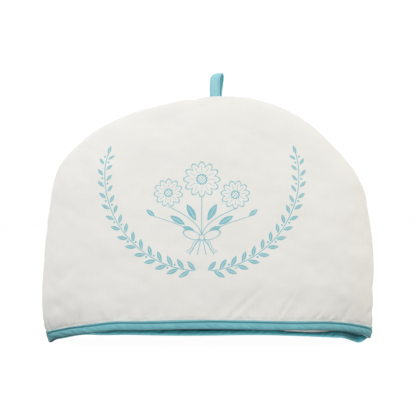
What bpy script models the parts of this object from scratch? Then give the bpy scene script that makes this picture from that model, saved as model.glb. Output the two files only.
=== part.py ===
"""A padded cotton tea cosy that stands open on its hem.

Two domed panels, each an outer cloth with its wadding, meet in a seam over the top and are lined inside.
A folded tape binds the hem all round, and a loop of the same tape stands in the top seam.
+Z is up, -Y is the front, and the origin is on the floor under the middle. Sizes are in metres.
"""

import math

import bmesh
import bpy
import numpy as np

GAP = 0.0003
FULL_HEIGHT = 0.260  # over the top seam

# The body's outline from the front, before the seam draws it in: from the hem's left corner, over the top,
# to its right corner.
OUTLINE = (
    # x, z
    (-0.1737, 0.0000),
    (-0.1755, 0.0450),
    (-0.1730, 0.0960),
    (-0.1690, 0.1360),
    (-0.1644, 0.1665),
    (-0.1572, 0.1880),
    (-0.1418, 0.2067),
    (-0.1170, 0.2263),
    (-0.0863, 0.2415),
    (-0.0502, 0.2521),
    (-0.0150, 0.2591),
    (0.0200, 0.2616),
    (0.0484, 0.2585),
    (0.0786, 0.2488),
    (0.1069, 0.2326),
    (0.1320, 0.2089),
    (0.1538, 0.1826),
    (0.1656, 0.1593),
    (0.1708, 0.1300),
    (0.1748, 0.0880),
    (0.1748, 0.0500),
    (0.1732, 0.0000),
)
OUTLINE_STEPS = 800
# Where the outline turns from a side into the top, as a part of its length.
LEFT_SHOULDER = 0.245
RIGHT_SHOULDER = 0.775

# Each half of the body: which way it faces, how far its mouth opens, and how much it bellies above the mouth.
HALVES = {
    "front": {"faces": -1, "mouth": 0.0590, "belly": 0.13},
    "back": {"faces": 1, "mouth": 0.0580, "belly": 0.08},
}
FULLNESS = 2.0  # exponent of the section through the top, 2 for an ellipse
MOUTH_FULLNESS = 0.9  # added to it at the hem, where the mouth is a squarer oval
SEAM_TURN = 0.13  # radians by which the side seams lie round towards the front
TURN_ENDS = 0.55  # part of the rows above which that dies out
SIDE_ROUND = 0.026  # radius of the body's sides, seen from above

# The front hem arches up from its ends, and the right one stays a little off the floor.
ARCH_HEIGHT = 0.0191
HEM_ENDS = {
    # side: height of the corner, how far from the middle the arch starts, its exponent
    "left": {"height": 0.0, "reach": 0.1690, "power": 3.6},
    "right": {"height": 0.0045, "reach": 0.1732, "power": 4.5},
}
CORNER_RAMP = (0.163, 0.1725)  # x between which the back hem rises to the right corner

# The back hem is tucked in beside the right corner, in a fold that dies out upwards.
TUCK = {"x": 0.153, "width": 0.018, "depth": 0.0220, "height": 0.080, "off_seam": 0.020}

# Broad soft hollows in the padding. The angle is from +X, in degrees.
HOLLOWS = {
    "front": (
        # x, z, angle, length, width, depth
        {"x": 0.047, "z": 0.040, "angle": 43, "length": 0.046, "width": 0.012, "depth": 0.0022},
        {"x": 0.088, "z": 0.040, "angle": 58, "length": 0.042, "width": 0.011, "depth": 0.0020},
        {"x": -0.040, "z": 0.228, "angle": 22, "length": 0.060, "width": 0.014, "depth": 0.0018},
        {"x": -0.156, "z": 0.046, "angle": 30, "length": 0.024, "width": 0.013, "depth": 0.0018},
    ),
    "back": (
        {"x": -0.070, "z": 0.036, "angle": 62, "length": 0.044, "width": 0.013, "depth": 0.0020},
        {"x": 0.050, "z": 0.222, "angle": -24, "length": 0.056, "width": 0.014, "depth": 0.0018},
    ),
}

# Depths below the smooth outside of the body.
SEAM_GROOVE = 0.0026
SEAM_GROOVE_WIDTH = 0.0045
HEM_PINCH = 0.0030
PINCH_HEIGHTS = (0.008, 0.024)  # above the raw edge: the padding is pressed flat below, and full above
WADDED_DEPTH = 0.0075
WADDED_DEPTH_AT_HEM = 0.0060
LINING_THICKNESS = 0.0010

# The hem tape, folded over the raw edges.
TAPE_THICKNESS = 0.0012
TAPE_HEIGHT = 0.0084  # over the cloth's raw edges
RAW_EDGE = TAPE_THICKNESS + 2 * GAP  # height of those edges over the underside of the tape

# The hanging loop: a flat tape that goes up, over and down, turned a little about the vertical.
LOOP = {
    "x": 0.0076,
    "height": 0.0245,
    "width": 0.0112,
    "thickness": 0.0014,
    "foot_spread": 0.0074,
    "top_spread": 0.0110,
    "lean": 0.0022,
    "turn": -18,
    "strand_share": 0.3,  # of the steps, on each upright strand
}
# The tape's cross-section, with its edges eased: across its width and through its thickness, from -1 to 1.
TAPE_PROFILE = ((-1, -0.5), (-0.94, -1), (0.94, -1), (1, -0.5), (1, 0.5), (0.94, 1), (-0.94, 1), (-1, 0.5))

COLUMNS = 38
BAND_ROWS = 2  # in the height of the tape
ROWS = 14  # above it
LOOP_STEPS = 26
SHARP_ANGLE = math.radians(50)

COTTON = {"name": "off_white_cotton", "colour": (0.83, 0.82, 0.79), "roughness": 0.85}
LINING = {"name": "plain_lining", "colour": (0.80, 0.79, 0.76), "roughness": 0.9}
TAPE = {"name": "teal_bias_tape", "colour": (0.17, 0.47, 0.52), "roughness": 0.75}


def smooth_line(points, count):
    """A smooth line through the points, read at even steps along its length."""
    points = np.array(points)
    steps = np.linalg.norm(np.diff(points, axis=0), axis=1)
    knots = np.concatenate([[0.0], np.cumsum(steps)])
    slopes = np.gradient(points, knots, axis=0)
    at = np.linspace(0.0, knots[-1], count)
    k = np.clip(np.searchsorted(knots, at, side="right") - 1, 0, len(points) - 2)
    span = steps[k][:, None]
    t = (at - knots[k])[:, None] / span
    start = points[k] * (1 + 2 * t) * (1 - t) ** 2 + slopes[k] * span * t * (1 - t) ** 2
    end = points[k + 1] * t**2 * (3 - 2 * t) - slopes[k + 1] * span * t**2 * (1 - t)
    return start + end


EDGE = smooth_line(OUTLINE, OUTLINE_STEPS + 1)
EDGE_LENGTH = np.linalg.norm(np.diff(EDGE, axis=0), axis=1).sum()


def on_edge(part):
    """The point of the silhouette at this part of its length."""
    at = np.linspace(0.0, 1.0, len(EDGE))
    return np.stack([np.interp(part, at, EDGE[:, 0]), np.interp(part, at, EDGE[:, 1])], axis=-1)


def ease(value, low, high):
    """0 below low, 1 above high, and a soft step between."""
    t = np.clip((value - low) / (high - low), 0.0, 1.0)
    return t * t * (3 - 2 * t)


def unit(vectors):
    return vectors / np.linalg.norm(vectors, axis=-1, keepdims=True)


def hem_height(half, x):
    """The underside of the hem tape."""
    left, right = HEM_ENDS["left"], HEM_ENDS["right"]
    if half == "back":
        return right["height"] * ease(x, *CORNER_RAMP)
    reach = np.where(x < 0, left["reach"], right["reach"])
    power = np.where(x < 0, left["power"], right["power"])
    end = np.where(x < 0, left["height"], right["height"])
    arch = 1 - np.clip(np.abs(x) / reach, 0.0, 1.0) ** power
    return end + (ARCH_HEIGHT - end) * arch


def depth(half, x, z):
    """How far the smooth outside lies from the plane of the seam."""
    turn = np.arctan2(z, x)
    reach = np.interp(turn, np.arctan2(EDGE[::-1, 1], EDGE[::-1, 0]), np.hypot(*EDGE[::-1].T))
    out = np.clip(np.hypot(x, z) / reach, 0.0, 1.0)
    power = FULLNESS + MOUTH_FULLNESS * np.cos(turn) ** 2
    belly = 1 + half["belly"] * np.sin(math.pi * z / FULL_HEIGHT) * (1 - out**2)
    return half["mouth"] * belly * np.sqrt(1 - out**power)


def hollows(name, x, z):
    """Depth of the soft hollows at each point."""
    total = np.zeros_like(x)
    for row in HOLLOWS[name]:
        angle = math.radians(row["angle"])
        along = (x - row["x"]) * math.cos(angle) + (z - row["z"]) * math.sin(angle)
        across = (z - row["z"]) * math.cos(angle) - (x - row["x"]) * math.sin(angle)
        total += row["depth"] * np.exp(-((2 * along / row["length"]) ** 2) - (across / row["width"]) ** 2)
    return total


def row_height(row, length):
    """How far up its columns a row lies, from 0 at the raw edge to 1 at the top seam."""
    bound = TAPE_HEIGHT / length
    if row < BAND_ROWS:
        return bound * row / BAND_ROWS
    return bound + (1 - bound) * (1 - math.cos(math.pi * (row - BAND_ROWS) / ROWS)) / 2


def half_grid(name):
    """Points of the smooth outside of one half, rows from hem to top and columns from left to right."""
    faces = HALVES[name]["faces"]
    rows = BAND_ROWS + ROWS + 1
    grid = np.zeros((rows, COLUMNS + 1, 3))
    start = (HEM_ENDS["left"]["height"] + RAW_EDGE) / EDGE_LENGTH
    stop = 1 - (HEM_ENDS["right"]["height"] + RAW_EDGE) / EDGE_LENGTH
    ends = np.array([start, LEFT_SHOULDER, RIGHT_SHOULDER, stop])
    low_left, high_left, high_right, low_right = on_edge(ends)
    for row in range(rows):
        turn = -faces * SEAM_TURN * (1 - ease(row, TURN_ENDS * rows, rows - 1))
        swing = np.linspace(turn, math.pi - turn, COLUMNS + 1)
        across = (1 - np.cos(swing)) / 2
        hem_x = low_left[0] + (low_right[0] - low_left[0]) * across
        hem = np.stack([hem_x, hem_height(name, hem_x) + RAW_EDGE], axis=-1)
        crown = on_edge(LEFT_SHOULDER + (RIGHT_SHOULDER - LEFT_SHOULDER) * across)
        up = row_height(row, np.linalg.norm(crown - hem, axis=-1))
        left = on_edge(start + (LEFT_SHOULDER - start) * up)
        right = on_edge(stop + (RIGHT_SHOULDER - stop) * up)
        # A patch between four curves: the two ruled surfaces, less the flat one between their corners.
        u, v = across[:, None], up[:, None]
        ruled = (1 - v) * hem + v * crown + (1 - u) * left + u * right
        corners = (1 - v) * ((1 - u) * low_left + u * low_right) + v * ((1 - u) * high_left + u * high_right)
        x, z = (ruled - corners).T
        front_y, back_y = -depth(HALVES["front"], x, z), depth(HALVES["back"], x, z)
        y = np.where(np.sin(swing) * faces < 0, front_y, back_y) - faces * hollows(name, x, z)
        grid[row] = np.stack([x, y, z], axis=-1)
    if name == "back":
        grid[..., 1] -= tuck(grid) * ease(seam_distance(grid), 0.0, TUCK["off_seam"])
    return grid


def tuck(grid):
    """How far the fold beside the right corner draws each point forwards."""
    x, z = grid[..., 0], grid[..., 2]
    band = TAPE_HEIGHT + TAPE_THICKNESS
    fade = np.clip((TUCK["height"] - z) / (TUCK["height"] - band), 0.0, 1.0) ** 2
    return TUCK["depth"] * np.exp(-(((x - TUCK["x"]) / TUCK["width"]) ** 2)) * fade


def running_length(grid, axis):
    steps = np.linalg.norm(np.diff(grid, axis=axis), axis=-1)
    start = np.zeros_like(np.take(steps, [0], axis=axis))
    return np.concatenate([start, np.cumsum(steps, axis=axis)], axis=axis)


def hem_distance(grid):
    return running_length(grid, 0)


def seam_distance(grid):
    """Distance over the surface from the nearest side or top edge."""
    across = running_length(grid, 1)
    up = running_length(grid, 0)
    sides = np.minimum(across, across[:, -1:] - across)
    return np.minimum(sides, up[-1:] - up)


def seam_indices(grid):
    """Row and column of each point of the seam, up the left side, over the top and down the right."""
    rows, columns = grid.shape[:2]
    left = [(row, 0) for row in range(rows)]
    top = [(rows - 1, column) for column in range(1, columns - 1)]
    right = [(row, columns - 1) for row in reversed(range(rows))]
    return tuple(np.array(left + top + right).T)


def seam_normals(seam_line):
    """Outward normals of the rounded side along the seam, which lies a little to its front."""
    along = np.gradient(seam_line, axis=0)
    in_plane = unit(np.stack([-along[:, 2], 0 * along[:, 0], along[:, 0]], axis=-1))
    in_plane[:, 1] = seam_line[:, 1] / SIDE_ROUND
    return unit(in_plane)


def body_halves():
    """Each half's points, outward normals, and the way each seam point steps back from the other half."""
    grids = {name: half_grid(name) for name in HALVES}
    seam = seam_indices(grids["front"])
    shared = (grids["front"][seam] + grids["back"][seam]) / 2
    shared_normal = seam_normals(shared)
    aside = unit(np.cross(np.gradient(shared, axis=0), shared_normal))
    halves = {}
    for name, grid in grids.items():
        grid[seam] = shared
        faces = HALVES[name]["faces"]
        normals = np.cross(np.gradient(grid, axis=0), np.gradient(grid, axis=1)) * faces
        normals[seam] = shared_normal
        normals[: BAND_ROWS + 1, :, 2] = 0.0  # the bound edge stands upright and is cut level
        normals = unit(normals)
        step = np.zeros_like(grid)
        step[seam] = aside * -faces * GAP / 2
        halves[name] = {"grid": grid, "normals": normals, "step": step}
    return halves


def layer(half, below):
    """The half's surface at this depth below its smooth outside."""
    return half["grid"] + half["step"] - half["normals"] * below[..., None]


def outside_depth(half):
    pinch = HEM_PINCH * (1 - ease(hem_distance(half["grid"]), *PINCH_HEIGHTS))
    groove = SEAM_GROOVE * np.exp(-((seam_distance(half["grid"]) / SEAM_GROOVE_WIDTH) ** 2))
    return np.maximum(pinch, groove)


def inside_depth(half):
    full = ease(hem_distance(half["grid"]), *PINCH_HEIGHTS)
    return WADDED_DEPTH_AT_HEM + (WADDED_DEPTH - WADDED_DEPTH_AT_HEM) * full


def make_material(finish):
    material = bpy.data.materials.new(finish["name"])
    material.use_nodes = True
    shader = material.node_tree.nodes["Principled BSDF"]
    shader.inputs["Base Color"].default_value = (*finish["colour"], 1.0)
    shader.inputs["Roughness"].default_value = finish["roughness"]
    shader.inputs["Metallic"].default_value = 0.0
    return material


def make_object(name, points, faces, material):
    mesh = bpy.data.meshes.new(name)
    mesh.from_pydata([tuple(point) for point in points], [], faces)
    shape = bmesh.new()
    shape.from_mesh(mesh)
    bmesh.ops.recalc_face_normals(shape, faces=shape.faces)
    shape.to_mesh(mesh)
    shape.free()
    mesh.materials.append(material)
    mesh.shade_smooth()
    mesh.set_sharp_from_angle(angle=SHARP_ANGLE)
    body = bpy.data.objects.new(name, mesh)
    bpy.context.scene.collection.objects.link(body)
    return body


def make_shell(name, outside, inside, material):
    """A closed piece of cloth between two grids of the same shape."""
    rows, columns = outside.shape[:2]
    index = np.arange(rows * columns).reshape(rows, columns)
    behind = index + rows * columns
    faces = []
    for row in range(rows - 1):
        for column in range(columns - 1):
            corners = [(row, column), (row, column + 1), (row + 1, column + 1), (row + 1, column)]
            # Every layer is split along the same diagonals, so that layers stay parallel.
            if column >= columns // 2:
                corners = corners[1:] + corners[:1]
            a, b, c, d = corners
            for triangle in ((a, b, c), (a, c, d)):
                faces.append([int(index[corner]) for corner in triangle])
                faces.append([int(behind[corner]) for corner in reversed(triangle)])
    rim = np.concatenate([index[0], index[1:, -1], index[-1, -2::-1], index[-2:0:-1, 0]]).tolist()
    for start, end in zip(rim, rim[1:] + rim[:1]):
        faces.append([end, start, start + rows * columns, end + rows * columns])
    points = np.concatenate([outside.reshape(-1, 3), inside.reshape(-1, 3)])
    return make_object(name, points, faces, material)


def make_ring(name, sections, material, closed):
    """A band swept through its cross-sections, joined end to end or capped."""
    count, sides = sections.shape[:2]
    faces = []
    for k in range(count if closed else count - 1):
        first, second = k * sides, (k + 1) % count * sides
        inwards = k % (count // 2) < count // 4  # the first part of each half runs in towards the middle
        for side in range(sides):
            after = (side + 1) % sides
            corners = [first + side, first + after, second + after, second + side]
            # The same diagonals again, so that the tape stays parallel to the cloth inside its fold.
            if inwards != (sections[k, after, 2] > sections[k, side, 2]):
                corners = corners[1:] + corners[:1]
            a, b, c, d = corners
            faces += [[a, b, c], [a, c, d]]
    if not closed:
        faces.append(list(range(sides)))
        faces.append(list(range((count - 1) * sides, count * sides)))
    return make_object(name, sections.reshape(-1, 3), faces, material)


def tape_sections(half):
    """The folded hem tape's cross-section at each column of one half."""
    band = slice(BAND_ROWS + 1)
    base, out = half["grid"][band], half["normals"][band]
    outer = (outside_depth(half)[band] - GAP)[..., None]
    inner = (inside_depth(half)[band] + 2 * GAP + LINING_THICKNESS)[..., None]
    outer_leg, outer_face = base - out * outer, base - out * (outer - TAPE_THICKNESS)
    inner_leg, inner_face = base - out * inner, base - out * (inner + TAPE_THICKNESS)
    floor = base[0, :, 2] - RAW_EDGE

    def under(leg, rise):
        return np.stack([leg[0, :, 0], leg[0, :, 1], floor + rise], axis=-1)[None]

    ring = [
        outer_face[:0:-1],
        under(outer_face, TAPE_THICKNESS / 2),
        under(outer_leg, 0.0),
        under(inner_leg, 0.0),
        under(inner_face, TAPE_THICKNESS / 2),
        inner_face[1:],
        inner_leg[:0:-1],
        under(inner_leg, TAPE_THICKNESS),
        under(outer_leg, TAPE_THICKNESS),
        outer_leg[1:],
    ]
    return np.concatenate(ring).transpose(1, 0, 2)


def make_hem_binding(halves, material):
    front, back = tape_sections(halves["front"]), tape_sections(halves["back"])
    return make_ring("hem_binding", np.concatenate([front, back[-2:0:-1]]), material, closed=True)


def loop_line(rise):
    """The loop's middle line, as distance behind the seam and height above its feet."""
    share, crown = LOOP["strand_share"], LOOP["top_spread"] / 2
    line = []
    for part in np.linspace(0.0, 1.0, LOOP_STEPS + 1):
        climb = min(part, 1 - part) / share
        if climb < 1:
            reach = (LOOP["foot_spread"] + (LOOP["top_spread"] - LOOP["foot_spread"]) * climb) / 2
            line.append((math.copysign(reach, part - 0.5), rise * climb))
        else:
            swing = math.pi * (part - share) / (1 - 2 * share)
            line.append((-crown * math.cos(swing), rise + crown * math.sin(swing)))
    return np.array(line)


def make_hanging_loop(halves, material):
    """The tape stands across the top seam, its feet just above the cloth."""
    seam = layer(halves["front"], outside_depth(halves["front"]))[-1]
    foot = float(np.interp(LOOP["x"], seam[:, 0], seam[:, 2])) + 2 * GAP
    line = loop_line(FULL_HEIGHT + LOOP["height"] - foot - (LOOP["top_spread"] + LOOP["thickness"]) / 2)
    along = np.gradient(line, axis=0)
    along[0], along[-1] = (0.0, 1.0), (0.0, -1.0)
    through = unit(np.stack([-along[:, 1], along[:, 0]], axis=-1))
    turn = math.radians(LOOP["turn"])
    wide = np.array([math.cos(turn), math.sin(turn), 0.0])
    deep = np.array([-math.sin(turn), math.cos(turn), 0.0])
    sections = []
    for place, out in zip(line, through):
        lean = LOOP["lean"] * (place[1] / LOOP["height"]) ** 2
        ring = []
        for w, t in TAPE_PROFILE:
            back, up = place + out * t * LOOP["thickness"] / 2
            aside = wide * w * LOOP["width"] / 2 + deep * back
            ring.append(aside + (LOOP["x"] + lean, 0.0, foot + up))
        sections.append(ring)
    return make_ring("hanging_loop", np.array(sections), material, closed=False)


def main():
    for item in list(bpy.data.objects):
        bpy.data.objects.remove(item, do_unlink=True)
    cotton, lining, tape = (make_material(finish) for finish in (COTTON, LINING, TAPE))
    halves = body_halves()
    for name, half in halves.items():
        outer, inner = outside_depth(half), inside_depth(half)
        make_shell(f"{name}_panel", layer(half, outer), layer(half, inner), cotton)
        facing = inner + GAP
        make_shell(f"{name}_lining", layer(half, facing), layer(half, facing + LINING_THICKNESS), lining)
    make_hem_binding(halves, tape)
    make_hanging_loop(halves, tape)


main()
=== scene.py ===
import math

import bpy
import numpy as np
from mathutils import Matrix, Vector


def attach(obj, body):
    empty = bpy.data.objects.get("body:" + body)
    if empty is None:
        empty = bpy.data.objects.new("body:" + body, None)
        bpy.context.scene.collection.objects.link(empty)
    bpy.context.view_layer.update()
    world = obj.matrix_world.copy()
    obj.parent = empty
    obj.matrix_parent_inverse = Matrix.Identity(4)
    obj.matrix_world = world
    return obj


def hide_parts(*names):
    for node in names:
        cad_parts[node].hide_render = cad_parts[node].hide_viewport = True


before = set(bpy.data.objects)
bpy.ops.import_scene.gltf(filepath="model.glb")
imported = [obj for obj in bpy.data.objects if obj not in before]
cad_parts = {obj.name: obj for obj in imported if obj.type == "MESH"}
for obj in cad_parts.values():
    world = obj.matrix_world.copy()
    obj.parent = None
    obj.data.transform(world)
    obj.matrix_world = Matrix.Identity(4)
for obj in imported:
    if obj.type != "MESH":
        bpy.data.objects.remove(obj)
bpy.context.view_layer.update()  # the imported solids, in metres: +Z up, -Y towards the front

print("the packed tea cosy is in")


# numbers along lines and surfaces

def ease(value, low, high):  # 0 below low, 1 above high, a soft step between
    t = np.clip((value - low) / (high - low), 0.0, 1.0)
    return t * t * (3 - 2 * t)


def bump(value, middle, width):
    return np.exp(-(((value - middle) / width) ** 2))


def unit(vectors):
    return vectors / np.linalg.norm(vectors, axis=-1, keepdims=True)


def smoothLine(points, count):  # a smooth line through the points, read at even steps along its length
    points = np.array(points, float)
    steps = np.linalg.norm(np.diff(points, axis=0), axis=1)
    knots = np.concatenate([[0.0], np.cumsum(steps)])
    slopes = np.gradient(points, knots, axis=0)
    at = np.linspace(0.0, knots[-1], count)
    k = np.clip(np.searchsorted(knots, at, side="right") - 1, 0, len(points) - 2)
    span = steps[k][:, None]
    t = (at - knots[k])[:, None] / span
    start = points[k] * (1 + 2 * t) * (1 - t) ** 2 + slopes[k] * span * t * (1 - t) ** 2
    end = points[k + 1] * t**2 * (3 - 2 * t) - slopes[k + 1] * span * t**2 * (1 - t)
    return start + end


def runningLength(grid, axis):
    steps = np.linalg.norm(np.diff(grid, axis=axis), axis=-1)
    start = np.zeros_like(np.take(steps, [0], axis=axis))
    return np.concatenate([start, np.cumsum(steps, axis=axis)], axis=axis)


def readAlong(values, run, at):  # columns of values, read at these places along their running length
    k = np.clip(np.searchsorted(run, at, side="right") - 1, 0, len(run) - 2)
    share = ((at - run[k]) / (run[k + 1] - run[k])).reshape(-1, *[1] * (values.ndim - 2))
    return values[:, k] * (1 - share) + values[:, k + 1] * share


def swell(u, v, size, seed, count=26):  # an even random swell, of about this wavelength and a height near 1
    dice = np.random.default_rng(seed)
    total = 0.0
    for _ in range(count):
        heading = dice.uniform(0, 2 * math.pi)
        length = size * dice.uniform(0.7, 1.6)
        along = u * math.cos(heading) + v * math.sin(heading)
        total = total + np.cos(2 * math.pi * along / length + dice.uniform(0, 2 * math.pi))
    return total * math.sqrt(2 / count)


# the shape of the body

body = {
    "height": 0.260,  # over the top seam
    "leftShoulder": 0.245,  # where the outline turns from a side into the top, as a part of its length
    "rightShoulder": 0.775,
    "fullness": 2.0,  # exponent of the section through the top, 2 for an ellipse
    "mouthFullness": 0.9,  # added at the hem, where the mouth is a squarer oval
    "seamTurn": 0.13,  # radians by which the side seams lie round towards the front
    "turnEnds": 0.55,  # part of the rows above which that dies out
    "columns": 236,
    "bandRows": 6,  # in the height of the binding
    "rows": 158,  # above it
    "seamReach": 0.020,  # over which each half bends to meet the other at a side seam
    "evenNear": (0.012, 0.030),  # off a seam, where the smooth body's normals give way to the cloth's own
    "furrowSpan": 0.4226,  # part of its length over which a furrow is deep
}
outline = (  # x, z before the seam draws it in, from the hem's left corner over the top to its right one
    (-0.1682, 0.0000), (-0.1730, 0.0130), (-0.1752, 0.0270), (-0.1755, 0.0450),
    (-0.1730, 0.0960), (-0.1690, 0.1360), (-0.1640, 0.1665), (-0.1565, 0.1876),
    (-0.1412, 0.2061), (-0.1165, 0.2256), (-0.0860, 0.2409), (-0.0502, 0.2515),
    (-0.0150, 0.2587), (0.0200, 0.2611), (0.0484, 0.2582), (0.0786, 0.2488),
    (0.1069, 0.2326), (0.1323, 0.2090), (0.1545, 0.1829), (0.1663, 0.1596),
    (0.1718, 0.1300), (0.1761, 0.0880), (0.1751, 0.0500), (0.1752, 0.0300),
    (0.1746, 0.0120), (0.1715, 0.0000),
)
halves = {
    "front": {"faces": -1, "mouth": 0.0590, "belly": 0.13},
    "back": {"faces": 1, "mouth": 0.0580, "belly": 0.08},
}
hem = {
    "arch": 0.0191,  # how far the front hem rises in its middle
    # each end's height, how far out it lies, and how square the arch is
    "left": {"height": 0.0024, "reach": 0.1730, "power": 2.8},
    "right": {"height": 0.0064, "reach": 0.1745, "power": 4.5},
    "ramp": (0.1575, 0.1760),  # x between which the back hem rises to the right corner
    "waves": {  # x, width, and how far the hem is lifted there
        "front": (
            (0.080, 0.045, -0.0013),
            (-0.055, 0.030, -0.0004),
            (-0.095, 0.020, 0.0011),
            (-0.156, 0.012, -0.0007),
        ),
        "back": (
            (-0.140, 0.019, 0.0025),
            (-0.100, 0.040, 0.0016),
            (0.060, 0.050, 0.0009),
            (-0.174, 0.009, 0.0014),
            (0.150, 0.005, 0.0008),
        ),
    },
    "gap": 0.0003,  # between layers
    "rawEdge": 0.0018,  # height of the raw edges inside the fold of the tape
    "tapeTop": 0.0096,
}
tuck = {  # the fold beside the right corner
    "x": 0.1575,
    "leftWidth": 0.0062,
    "rightWidth": 0.0120,
    "depth": 0.0330,
    "height": 0.080,
    "offSeam": 0.020,  # over which it dies out towards the side seam
    "squeezed": (0.009, 0.020),  # off that seam, where its layers begin to lie straight behind each other
}
edge = smoothLine(outline, 801)
edgeLength = np.linalg.norm(np.diff(edge, axis=0), axis=1).sum()


def onEdge(part):
    at = np.linspace(0.0, 1.0, len(edge))
    return np.stack([np.interp(part, at, edge[:, 0]), np.interp(part, at, edge[:, 1])], axis=-1)


def hemHeight(name, x):  # the underside of the binding
    waved = sum(lift * bump(x, at, width) for at, width, lift in hem["waves"][name])
    if name == "back":
        return waved + hem["right"]["height"] * ease(x, *hem["ramp"])
    reach, power, end = (np.where(x < 0, hem["left"][key], hem["right"][key])
                         for key in ("reach", "power", "height"))
    return waved + end + (hem["arch"] - end) * (1 - np.clip(np.abs(x) / reach, 0.0, 1.0) ** power)


def section(half, x, z):  # how far out a point lies, the exponent there, and the half's depth in its middle
    turn = np.arctan2(z, x)
    reach = np.interp(turn, np.arctan2(edge[::-1, 1], edge[::-1, 0]), np.hypot(*edge[::-1].T))
    out = np.hypot(x, z) / reach
    power = body["fullness"] + body["mouthFullness"] * np.cos(turn) ** 2
    rise = np.sin(math.pi * np.clip(z / body["height"], 0.0, 1.0))
    belly = 1 + half["belly"] * rise * np.clip(1 - out**2, 0.0, 1.0)
    return out, power, half["mouth"] * belly


def depth(half, x, z):
    out, power, middle = section(half, x, z)
    return middle * np.sqrt(np.clip(1 - out**power, 0.0, 1.0))


def outward(points, step=0.0008):  # normals of the smooth body, which stay true across the seams
    def level(place):
        x, y, z = np.moveaxis(place, -1, 0)
        inFront, behind = (section(halves[name], x, z) for name in ("front", "back"))
        middle = np.where(y < 0, inFront[2], behind[2])
        return (y / middle) ** 2 + inFront[0] ** inFront[1]
    slope = [level(points + side) - level(points - side) for side in np.eye(3) * step]
    return unit(np.stack(slope, axis=-1))


def halfGrid(name):  # the smooth outside of one half, rows from hem to top and columns from left to right
    faces, rows, columns = halves[name]["faces"], body["bandRows"] + body["rows"], body["columns"]
    leftEnd = hem["left"]["height"] if name == "front" else 0.0
    start = (leftEnd + hem["rawEdge"]) / edgeLength
    stop = 1 - (hem["right"]["height"] + hem["rawEdge"]) / edgeLength
    shoulders = body["leftShoulder"], body["rightShoulder"]
    lowLeft, highLeft, highRight, lowRight = onEdge(np.array([start, *shoulders, stop]))
    row = np.arange(rows + 1)[:, None]
    turn = -faces * body["seamTurn"] * (1 - ease(row, body["turnEnds"] * rows, rows))
    swing = turn + (math.pi - 2 * turn) * np.linspace(0, 1, columns + 1)
    across = (1 - np.cos(swing)) / 2
    hemX = lowLeft[0] + (lowRight[0] - lowLeft[0]) * across
    low = np.stack([hemX, hemHeight(name, hemX) + hem["rawEdge"]], axis=-1)
    high = onEdge(shoulders[0] + (shoulders[1] - shoulders[0]) * across)
    bound = (hem["tapeTop"] - hem["rawEdge"]) / np.linalg.norm(high - low, axis=-1)
    climb = (1 - np.cos(math.pi * (row - body["bandRows"]) / body["rows"])) / 2
    up = np.where(row < body["bandRows"], bound * row / body["bandRows"], bound + (1 - bound) * climb)
    left = onEdge(start + (shoulders[0] - start) * up)
    right = onEdge(stop + (shoulders[1] - stop) * up)
    u, v = across[..., None], up[..., None]  # a patch between four curves, less the one between their corners
    corners = (1 - v) * ((1 - u) * lowLeft + u * lowRight) + v * ((1 - u) * highLeft + u * highRight)
    x, z = np.moveaxis((1 - v) * low + v * high + (1 - u) * left + u * right - corners, -1, 0)
    ahead, behind = -depth(halves["front"], x, z), depth(halves["back"], x, z)
    return np.stack([x, np.where(np.sin(swing) * faces < 0, ahead, behind), z], axis=-1)


def closeSideSeams(grids):
    for side in (0, -1):
        shared = (grids["front"][:, side] + grids["back"][:, side]) / 2
        for grid in grids.values():
            run = runningLength(grid, 1)
            near = 1 - ease(np.abs(run - run[:, [side]]), 0.0, body["seamReach"])
            grid += (shared - grid[:, side])[:, None] * near[..., None]


def flatPlace(half, x, z, steps=48):  # where a point lies on the flat cloth: run out the curve to it each way
    t = np.linspace(0.0, 1.0, steps)[:, None, None]
    low = hem["tapeTop"]
    outX, upZ = x * t, low + (z - low) * t
    stepY = np.diff(depth(half, outX, z), axis=0)
    u = np.hypot(np.diff(outX, axis=0), stepY).sum(axis=0) * np.sign(x)
    stepY = np.diff(depth(half, x, np.clip(upZ, 0.0, None)), axis=0)
    v = low + np.hypot(np.diff(upZ, axis=0), stepY).sum(axis=0) * np.sign(z - low)
    return np.stack([u, v], axis=-1)


def tucked(x, z):  # the part of the fold's depth by which it draws the back forwards
    fade = np.clip((tuck["height"] - z) / (tuck["height"] - hem["tapeTop"]), 0.0, 1.0) ** 2
    width = np.where(x < tuck["x"], tuck["leftWidth"], tuck["rightWidth"])
    return bump(x, tuck["x"], width) * fade


def furrows(x, z, rows):  # soft troughs, or ridges where the depth is negative
    total = np.zeros_like(x)
    for fromX, fromZ, toX, toZ, width, deep in rows:
        length, heading = math.hypot(toX - fromX, toZ - fromZ), math.atan2(toZ - fromZ, toX - fromX)
        along = ((x - fromX) * math.cos(heading) + (z - fromZ) * math.sin(heading)) / length
        across = (z - fromZ) * math.cos(heading) - (x - fromX) * math.sin(heading)
        total += deep * bump(along, 0.5, body["furrowSpan"]) * bump(across, 0.0, width)
    return total


broadHollows = {  # fromX, fromZ, toX, toZ, width, depth
    "front": (
        (0.030, 0.024, 0.064, 0.056, 0.012, 0.0022),
        (0.077, 0.022, 0.099, 0.058, 0.011, 0.0020),
        (-0.012, 0.239, -0.068, 0.217, 0.014, 0.0018),
        (-0.166, 0.040, -0.146, 0.052, 0.013, 0.0018),
        (-0.178, 0.012, -0.108, 0.012, 0.036, 0.0042),
        (0.100, 0.012, 0.170, 0.014, 0.030, 0.0045),
    ),
    "back": (
        (-0.080, 0.017, -0.060, 0.055, 0.013, 0.0020),
        (0.024, 0.233, 0.076, 0.211, 0.014, 0.0018),
    ),
}


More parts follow.
